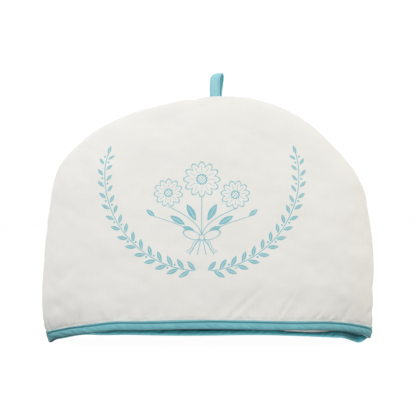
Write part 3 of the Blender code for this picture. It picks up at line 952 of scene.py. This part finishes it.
def makeStitches(name, lines, look, finish):  # one joined mesh of short raised stitches along lines
    along, swing = np.linspace(-1, 1, 7), np.linspace(0, 2 * math.pi, 6, endpoint=False)
    points, faces, weave = [], [], []
    size = len(along) * len(swing)
    spread = np.meshgrid(along * look["length"] / 2, swing * look["width"], indexing="ij")
    for line, normals in lines:
        run = runningLength(line[None], 1)[0]
        middles = np.arange(look["pitch"] / 2, run[-1], look["pitch"])
        at = (middles[:, None] + along * look["length"] / 2).ravel()
        at = np.clip(at, run[0], run[-1])
        place, out = readAlong(line[None], run, at)[0], unit(readAlong(normals[None], run, at)[0])
        ahead = readAlong(unit(np.gradient(line, axis=0))[None], run, at)[0]
        aside = unit(np.cross(ahead, out))
        taper = np.tile(np.sqrt(np.clip(1 - 0.9 * along**4, 0, 1)), len(middles))[:, None, None]
        rise = np.tile(look["height"] * (1 - along**4), len(middles)) - look["sink"]
        ring = (place + out * rise[:, None])[:, None]
        ring = ring + taper * look["width"] * np.cos(swing)[:, None] * aside[:, None]
        ring = ring + taper * look["height"] * np.sin(swing)[:, None] * out[:, None]
        for k in range(len(middles)):
            first = len(points) * size
            faces += [[first + corner for corner in face] for face in tubeFaces(len(along), len(swing))]
            points.append(ring[k * len(along) : (k + 1) * len(along)].reshape(-1, 3))
            weave.append(np.stack(spread, axis=-1))
    return newPiece(name, np.array(points), faces, finish, np.array(weave))


def makeBinding(parts, thread):
    bands = [boundEdge(half) for half in parts.values()]
    front, back = (tapeSections(band) for band in bands)
    sections = np.concatenate([front, back[-2:0:-1]])
    height = smoothLine(binding["outer"], binding["profileSteps"])[:, 0]
    middle = np.argmin(np.abs(height - binding["groove"]))
    run = runningLength(sections[:, binding["measuredAt"]][None], 1)[0]
    girth = runningLength(sections, 1).mean(axis=0)
    weave = np.stack(np.meshgrid(run, girth, indexing="ij"), axis=-1)
    seams = girth[middle], girth[2 * len(height) - 2 - middle]
    fold = sum(seams) / 2
    # the inner leg gets painted shade, coming in from the fold
    inside = binding["insidePaintedShade"], fold, fold + binding["insideReach"] * (seams[1] - fold)
    tape = makeTape("teal_bias_tape", tapeLook, seams, inside)
    piece = makeTube("hem_tape", sections, weave, tape, "hem_binding", closed=True)
    heights, stands = np.array(binding["outer"])[::-1].T
    groove = [(binding["groove"], np.interp(binding["groove"], heights, stands))]
    lines = []
    for band in bands:
        for inner in (False, True):
            normals = band["normals"][-1] * (-1 if inner else 1)
            lines.append((tapeLeg(band, groove, inner)[0], normals))
    makeStitches("hem_stitches", lines, binding["stitch"], thread)


# the hanging loop

loop = {
    "x": 0.0086,
    "foot": 0.2566,  # height at which its ends go into the seam
    "top": 0.2843,
    "width": 0.0108,
    "thickness": 0.0014,
    "footSpread": 0.0030,
    "topSpread": 0.0110,
    "lean": 0.0022,
    "turn": -17,
    "sideStep": 0.0013,  # how far its back end lies beside the front one
    "cornerDrop": 0.0016,  # by which the left edge rolls down as the tape turns over
    "cornerPull": 0.0007,
    "steps": 96,
    "profile": (  # across its width and through its thickness, from -1 to 1, on its outer side
        (-1.00, 0.35), (-0.97, 0.80), (-0.91, 0.98), (-0.84, 0.90), (-0.79, 0.62),
        (-0.73, 0.86), (-0.40, 0.92), (0.00, 0.90), (0.40, 0.92), (0.66, 0.86),
        (0.72, 0.58), (0.78, 0.86), (0.90, 0.98), (0.97, 0.80), (1.00, 0.35),
    ),
    "stitchAt": (0.72, 0.58),
    "grooves": (0.72, 0.79),
    "stitch": {"pitch": 0.0026, "length": 0.0019, "width": 0.00020, "height": 0.00014, "sink": 0.00006},
    # painted shade on its inner side
    "insidePaintedShade": (0.160, 0.520, 0.560, 1.0),
    "flat": (0.0112, 0.068),
}


def loopLine():  # distance behind the seam and height, along the tape from its front end to its back one
    crown = loop["topSpread"] / 2
    shoulder = loop["top"] - crown - loop["thickness"] / 2
    strand, arc = shoulder - loop["foot"], math.pi * crown
    at = np.linspace(0.0, 2 * strand + arc, loop["steps"] + 1)
    climb = np.clip(np.minimum(at, at[-1] - at), 0.0, strand)
    side = np.where(at < at[-1] / 2, -1, 1)
    spread = loop["footSpread"] / 2 + (crown - loop["footSpread"] / 2) * ease(climb, 0.0015, strand)
    swing = math.pi * np.clip((at - strand) / arc, 0.0, 1.0)
    turning = (at > strand) & (at < at[-1] - strand)
    behind = np.where(turning, -crown * np.cos(swing), side * spread)
    return at, np.stack([behind, loop["foot"] + climb + crown * np.sin(swing)], axis=-1), np.sin(swing)


def makeLoop(thread):
    at, line, turning = loopLine()
    along = unit(np.gradient(line, axis=0))
    behind, up = line.T
    outY, outZ = -along[:, 1], along[:, 0]
    turn = math.radians(loop["turn"])
    wide, deep = np.array([math.cos(turn), math.sin(turn)]), np.array([-math.sin(turn), math.cos(turn)])
    aside = loop["sideStep"] * (ease(at, 0.0, at[-1]) - 0.5)
    lean = loop["lean"] * ((up - loop["foot"]) / (loop["top"] - loop["foot"])) ** 2

    def place(w, t):
        left = turning * np.clip(-w, 0.0, None) ** 2
        back = behind + outY * t * loop["thickness"] / 2
        across = aside + w * loop["width"] / 2 + loop["cornerPull"] * left
        x = loop["x"] + lean + wide[0] * across + deep[0] * back
        y = wide[1] * across + deep[1] * back
        z = up + outZ * t * loop["thickness"] / 2 - loop["cornerDrop"] * left
        return np.stack([x, y, z], axis=-1)

    profile = list(loop["profile"]) + [(w, -t) for w, t in reversed(loop["profile"])]
    sections = np.stack([place(w, t) for w, t in profile], axis=1)
    girth = runningLength(sections, 1).mean(axis=0)
    weave = np.stack(np.meshgrid(at, girth, indexing="ij"), axis=-1)
    seams = [girth[k] for k, (w, _) in enumerate(profile) if abs(w) in loop["grooves"]]
    last = len(loop["profile"]) - 1
    # its inner side gets painted shade
    tape = makeTape("pale_teal_tape", loopLook, seams, (loop["insidePaintedShade"], girth[last], girth[last + 1]))
    piece = makeTube("hanging_loop_tape", sections, weave, tape, "hanging_loop")
    w, t = loop["stitchAt"]
    row = place(w, t)
    makeStitches("loop_stitches", [(row, unit(row - place(w, 0.0)))], loop["stitch"], thread)


# the camera, the light and the floor

view = {
    "place": (0.0003, -1.2, 0.1414),
    "lens": 98.0,
    "sensor": 36.0,
    "clip": (0.01, 50.0),
}


def makeView():
    camera = bpy.data.cameras.new("camera")
    camera.lens, camera.sensor_width = view["lens"], view["sensor"]
    camera.clip_start, camera.clip_end = view["clip"]
    placed = bpy.data.objects.new("camera", camera)
    placed.location = view["place"]
    placed.rotation_euler = (math.pi / 2, 0.0, 0.0)
    bpy.context.scene.collection.objects.link(placed)
    bpy.context.scene.camera = placed
    bpy.context.scene.view_settings.view_transform = "Standard"


studio = {
    "horizon": 1.0,
    "zenith": 1.22,
    "nadir": 0.60,
    "leftColour": (0.930, 0.935, 0.945, 1.0),  # of the light from each side
    "rightColour": (0.990, 0.910, 0.760, 1.0),
    "frontSpan": (0.22, 0.87),  # part of the way across between which it is white
    "white": (1.0, 1.0, 1.0, 1.0),
    "floor": (0.05, 0.05, 0.05, 1.0),
    "floorGlow": 0.97,
    "floorReach": 6.0,
    "shade": (0.030, 0.030, 0.030, 1.0),  # of the table inside the mouth
    "shadeReach": (0.215, 0.066),
    "shadeSquareness": 0.5,  # exponent of the corners, 1 for an ellipse
    "glow": 1.3,  # of the table along the inside of the back hem, and how far it reaches
    "glowReach": 0.012,
    "keyPower": 1.6,
    "keyPlace": (-0.7, -1.3, 1.7),
    "keySize": 0.7,
}


def makeWorld():
    world = bpy.data.worlds.new("studio")
    bpy.context.scene.world = world
    world.use_nodes = True
    nodes, links = world.node_tree.nodes, world.node_tree.links
    place, half, split, rise, side, double = (nodes.new(f"ShaderNode{kind}") for kind in (
        "TexCoord", "Mapping", "SeparateXYZ", "FloatCurve", "ValToRGB", "Math"))
    half.inputs["Scale"].default_value = half.inputs["Location"].default_value = (0.5, 0.5, 0.5)
    curve = rise.mapping.curves[0].points  # brightness from straight below to straight above, halved
    for at, height in zip(curve, ("nadir", "zenith")):
        at.location[1] = studio[height] / 2
    curve.new(0.5, studio["horizon"] / 2)
    rise.mapping.update()
    for at, colour in zip(side.color_ramp.elements, ("leftColour", "rightColour")):
        at.color = studio[colour]
    for at in studio["frontSpan"]:
        side.color_ramp.elements.new(at).color = studio["white"]
    double.operation = "MULTIPLY"
    double.inputs[1].default_value = 2.0
    links.new(place.outputs["Generated"], half.inputs["Vector"])
    links.new(half.outputs[0], split.inputs[0])
    links.new(split.outputs["X"], side.inputs["Fac"])
    links.new(split.outputs["Z"], rise.inputs["Value"])
    links.new(rise.outputs[0], double.inputs[0])
    links.new(side.outputs[0], nodes["Background"].inputs["Color"])
    links.new(double.outputs[0], nodes["Background"].inputs["Strength"])


def makeLamp():
    lamp = bpy.data.lights.new("key", "AREA")
    lamp.energy, lamp.size = studio["keyPower"], studio["keySize"]
    placed = bpy.data.objects.new("key", lamp)
    placed.location = studio["keyPlace"]
    placed.rotation_euler = (-Vector(studio["keyPlace"])).to_track_quat("-Z", "Y").to_euler()
    bpy.context.scene.collection.objects.link(placed)


def makeTable(name, corners, height, colour, glow=0.0):
    mesh = bpy.data.meshes.new(name)
    mesh.from_pydata([(x, y, 0.0) for x, y in corners], [], [list(range(len(corners)))])
    table = bpy.data.objects.new(name, mesh)
    table.location.z = height
    pale = Finish(name)
    pale.feed(pale.shader, {
        "Base Color": colour,
        "Roughness": 0.9,
        "Specular IOR Level": 0.0,
        "Emission Color": studio["white"],
        "Emission Strength": glow,
    })
    mesh.materials.append(pale.material)
    bpy.context.scene.collection.objects.link(table)
    return table


def makeFloor():
    reach = studio["floorReach"]
    corners = [(-reach, -reach), (reach, -reach), (reach, reach), (-reach, reach)]
    floor = makeTable("floor", corners, -0.0001, studio["floor"], studio["floorGlow"])
    floor.visible_diffuse = floor.visible_glossy = False  # it shows white, and the cloth is lit by the room
    turn = np.linspace(0, 2 * math.pi, 48, endpoint=False)
    circle = np.stack([np.cos(turn), np.sin(turn)], axis=-1)
    inside = np.sign(circle) * np.abs(circle) ** studio["shadeSquareness"] * studio["shadeReach"]
    shade = makeTable("shade_in_the_mouth", inside.tolist(), -0.0005, studio["shade"])
    shade.visible_camera = False  # it keeps the room's light out of the mouth from below


def makeGlow(half):  # the light that the table throws on the inside of the back hem
    foot, out = half["grid"][0], half["normals"][0]
    inner = insideDepth(half)[0][:, None] + lining["thickness"]
    near, far = foot - out * inner, foot - out * (inner + studio["glowReach"])
    corners = np.concatenate([near, far[::-1]])[:, :2]
    glow = makeTable("glow_on_the_table", corners.tolist(), -0.0003, studio["shade"], studio["glow"])
    glow.visible_camera = False


# the whole

makeView()
makeWorld()
makeLamp()
makeFloor()
parts = makeHalves()
print("the body's two halves are shaped")
makeGlow(parts["back"])
makePanels(parts, {"front": makeCotton("printed_cotton", cottonLook, printed=True),
                   "back": makeCotton("off_white_cotton", cottonLook)})
print("panels made")
makeLinings(parts, makeCotton("lining_cotton", cottonLook))
print("linings made")
thread = makeThread("teal_thread", threadLook)
makeBinding(parts, thread)
print("binding made")
makeLoop(thread)
print("loop made")
